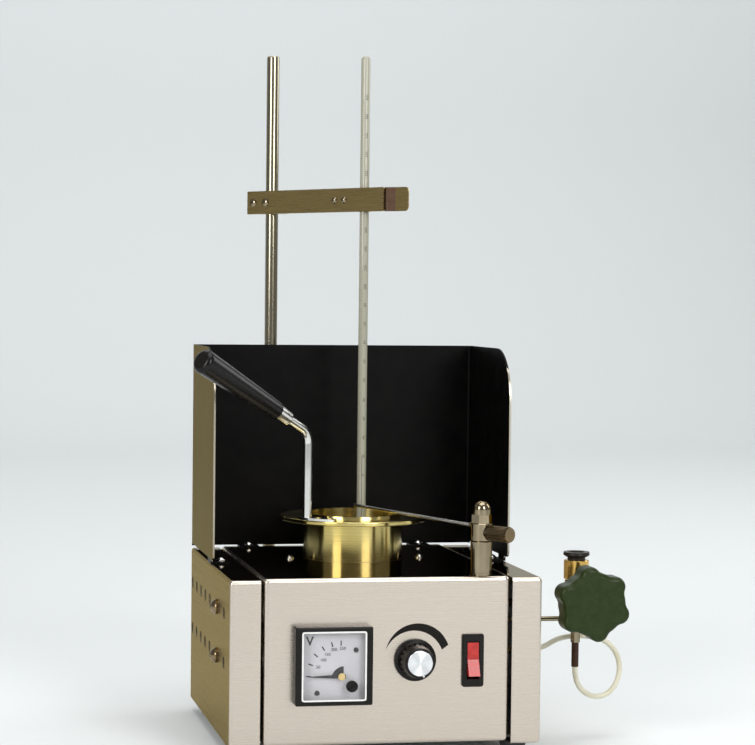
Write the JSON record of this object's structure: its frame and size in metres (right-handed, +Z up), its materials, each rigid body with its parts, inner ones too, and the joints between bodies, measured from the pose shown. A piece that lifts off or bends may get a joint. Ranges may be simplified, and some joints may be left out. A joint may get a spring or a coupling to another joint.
{
  "type": "open-cup flash point tester",
  "caption": "Bench instrument with a heated brass cup under a thermometer on a sliding arm, a swinging test flame, a draught shield, a panel voltmeter, a knob, a switch and a gas valve",
  "frame": {"origin": "on the bench, under the middle of the case and midway between the feet", "axes": "+Z up, -Y towards the user and the front panel, +X to the user's right, towards the gas valve"},
  "size_m": [0.2968, 0.2305, 0.467],
  "materials": {
    "stainless": "satin brushed sheet",
    "shield_steel": "brushed sheet, dark inside",
    "base_steel": "plain sheet",
    "screw_steel": "bright",
    "rod_steel": "ground",
    "arm_steel": "satin, bronze tone",
    "bright_steel": "polished",
    "brass": "polished",
    "copper": "plain tube",
    "hot_iron": "dark",
    "ceramic": "unglazed",
    "coil_wire": "oxidised",
    "foot_rubber": "matt",
    "hose_rubber": "matt",
    "hose_pvc": "translucent, yellowed",
    "grip_plastic": "gloss",
    "wheel_green": "gloss",
    "black_plastic": "satin",
    "grey_plastic": "satin",
    "dial_white": "matt print",
    "needle_black": "matt",
    "window_clear": "clear",
    "rocker_red": "gloss",
    "cap_alu": "turned",
    "board_green": "satin",
    "stem_glass": "clear, white backed",
    "bulb_glass": "filled"
  },
  "bodies": {
    "case": {"side_cover_left": "stainless", "side_cover_right": "stainless", "centre_shell": "stainless", "base_plate": "base_steel", "rubber_feet": "foot_rubber", "side_brackets": "base_steel", "cover_screws": "screw_steel", "pan_screws": "screw_steel", "draught_shield": "shield_steel", "heating_plate": "hot_iron", "heater_block": "ceramic", "heater_coil": "coil_wire", "heater_standoffs": "base_steel", "flame_post": "bright_steel", "post_nut": "brass", "flame_cap_nut": "bright_steel", "lower_rod_socket": "cap_alu", "upper_rod_socket": "cap_alu", "meter_housing": "black_plastic", "meter_dial": "dial_white", "dial_screws": "screw_steel", "meter_window": "window_clear", "potentiometer": "grey_plastic", "switch_frame": "black_plastic", "valve_body": "bright_steel", "valve_bonnet": "bright_steel", "valve_support": "bright_steel", "inlet_fitting": "bright_steel", "hose_joint": "hose_rubber", "gas_bulkhead": "brass", "gas_hose": "hose_pvc", "gas_pipe": "copper", "cord_gland": "black_plastic", "regulator_board": "board_green"},
    "cup": {"test_cup": "brass", "handle_rod": "bright_steel", "handle_rivets": "brass", "handle_ferrule": "bright_steel", "handle_grip": "grip_plastic"},
    "flame_arm": {"flame_hub": "bright_steel", "flame_tube": "bright_steel"},
    "stand": {"stand_rod": "rod_steel"},
    "thermometer_arm": {"clamp_block": "arm_steel", "arm_strip": "arm_steel", "spring_clip": "arm_steel", "arm_screws": "screw_steel"},
    "thermometer": {"thermometer_stem": "stem_glass", "thermometer_bulb": "bulb_glass"},
    "needle": {"meter_needle": "needle_black", "needle_hub": "brass"},
    "zero_adjuster": {"zero_screw": "black_plastic"},
    "knob": {"voltage_knob": "black_plastic", "knob_cap": "cap_alu", "knob_shaft": "rod_steel"},
    "power_rocker": {"rocker": "rocker_red"},
    "handwheel": {"valve_handwheel": "wheel_green", "valve_stem": "rod_steel"},
    "release": {"release_ring": "grey_plastic"},
    "thumb": {"thumb_screw": "black_plastic"}
  },
  "joints": [
    {"name": "cup_turn", "type": "hinge", "parent": "case", "child": "cup", "pos_m": [0, 0.02, 0.1115], "axis": [0, 0, 1], "range_deg": [-9, 30]},
    {"name": "flame_sweep", "type": "hinge", "parent": "case", "child": "flame_arm", "pos_m": [0.0635, -0.0825, 0.1447], "axis": [0, 0, 1], "range_deg": [-28, 58]},
    {"name": "rod_turn", "type": "hinge", "parent": "case", "child": "stand", "pos_m": [-0.0445, 0.101, 0.1], "axis": [0, 0, 1], "range_deg": [-6, 6]},
    {"name": "arm_slide", "type": "slide", "parent": "stand", "child": "thermometer_arm", "axis": [0, 0, 1], "range_m": [-0.0025, 0.085]},
    {"name": "thermometer_slide", "type": "slide", "parent": "thermometer_arm", "child": "thermometer", "axis": [0, 0, 1], "range_m": [-0.0025, 0.15]},
    {"name": "needle_swing", "type": "hinge", "parent": "case", "child": "needle", "pos_m": [-0.0309, -0.098, 0.055], "axis": [0, 1, 0], "range_deg": [0, 90]},
    {"name": "zero_turn", "type": "hinge", "parent": "case", "child": "zero_adjuster", "pos_m": [-0.0247, -0.1005, 0.0492], "axis": [0, 1, 0], "range_deg": [-30, 30]},
    {"name": "voltage_turn", "type": "hinge", "parent": "case", "child": "knob", "pos_m": [0.018, -0.1, 0.064], "axis": [0, 1, 0], "range_deg": [0, 300]},
    {"name": "power_rock", "type": "hinge", "parent": "case", "child": "power_rocker", "pos_m": [0.056, -0.0915, 0.0631], "axis": [1, 0, 0], "range_deg": [0, 24]},
    {"name": "valve_turn", "type": "hinge", "parent": "case", "child": "handwheel", "pos_m": [0.1396, -0.07, 0.0966], "axis": [0, -1, 0], "range_deg": [0, 540]},
    {"name": "release_press", "type": "slide", "parent": "case", "child": "release", "axis": [0, 0, -1], "range_m": [0, 0.0012], "stiffness_N_per_m": 300, "springref_m": -0.001},
    {"name": "thumb_turn", "type": "hinge", "parent": "case", "child": "thumb", "pos_m": [-0.0445, 0.118, 0.097], "axis": [0, 1, 0], "range_deg": [0, 540]}
  ]
}
